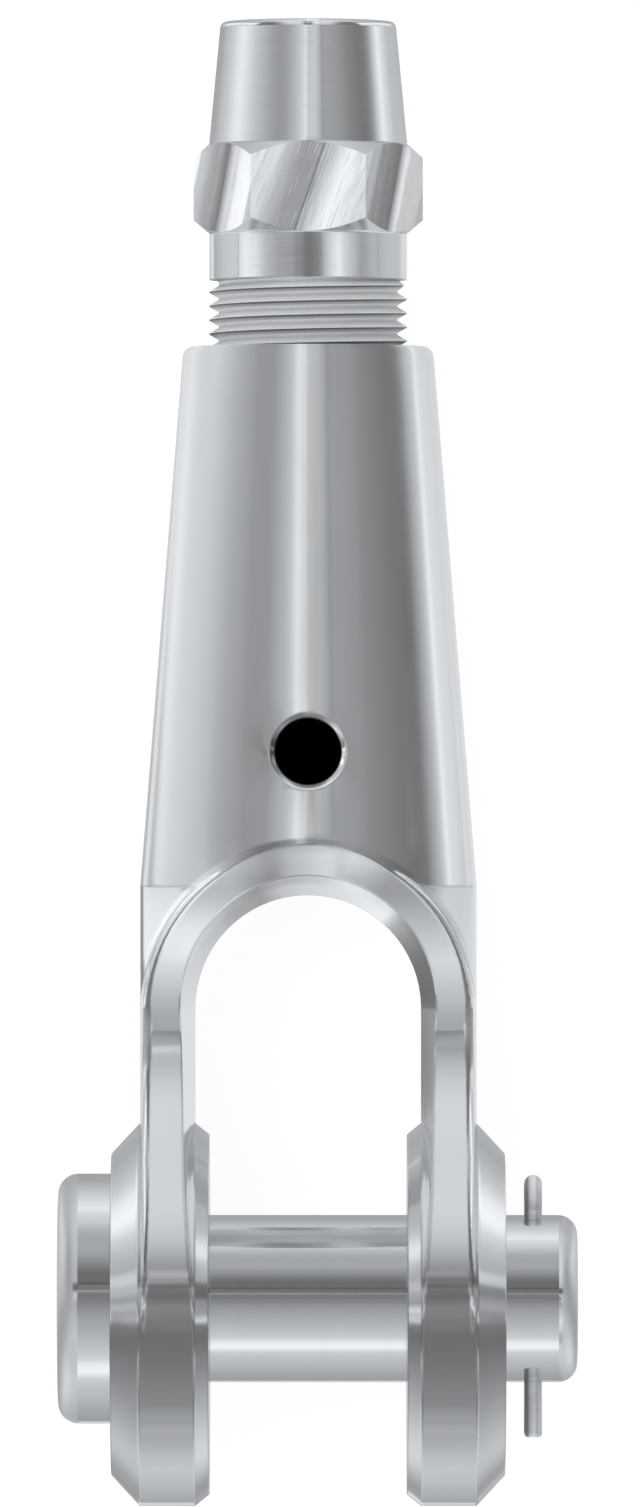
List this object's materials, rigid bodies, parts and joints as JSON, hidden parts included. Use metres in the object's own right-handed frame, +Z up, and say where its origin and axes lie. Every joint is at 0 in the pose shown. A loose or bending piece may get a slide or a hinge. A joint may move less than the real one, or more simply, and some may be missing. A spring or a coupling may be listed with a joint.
{
  "type": "clevis socket",
  "caption": "Forged steel clevis end fitting for wire rope: tapered body with an eared fork, headed pin and split pin, and a hex sleeve that screws in around a wedge plug.",
  "frame": {"origin": "middle of the clevis pin's axis between the ears", "axes": "+X along the clevis pin towards its split pin, +Y along the rope's axis away from the fork, +Z up out of the inspection hole, with the fitting lying on its back"},
  "size_m": [0.0789, 0.2257, 0.0586],
  "materials": {
    "forged_body": "bright smooth forging",
    "turned_sleeve": "bright turned steel",
    "plug_steel": "turned steel",
    "pin_steel": "bright turned steel",
    "cotter_wire": "drawn wire"
  },
  "bodies": {
    "socket": {"clevis_socket": "forged_body"},
    "plug": {"wedge_plug": "plug_steel"},
    "sleeve": {"sleeve": "turned_sleeve"},
    "pin": {"clevis_pin": "pin_steel", "cotter_pin": "cotter_wire"}
  },
  "joints": [
    {"name": "sleeve_travel", "type": "slide", "parent": "socket", "child": "plug", "axis": [0, 1, 0], "range_m": [-0.01, 0.0236]},
    {"name": "sleeve_turn", "type": "hinge", "parent": "plug", "child": "sleeve", "pos_m": [0, 0.15, 0], "axis": [0, 1, 0], "range_deg": [-1700, 4000]},
    {"name": "pin_turn", "type": "hinge", "parent": "socket", "child": "pin", "pos_m": [0, 0, 0], "axis": [1, 0, 0], "continuous": true}
  ],
  "couplings": [
    {"joint": "sleeve_travel", "follows": "sleeve_turn", "m_per_rad": 0.00033688}
  ]
}
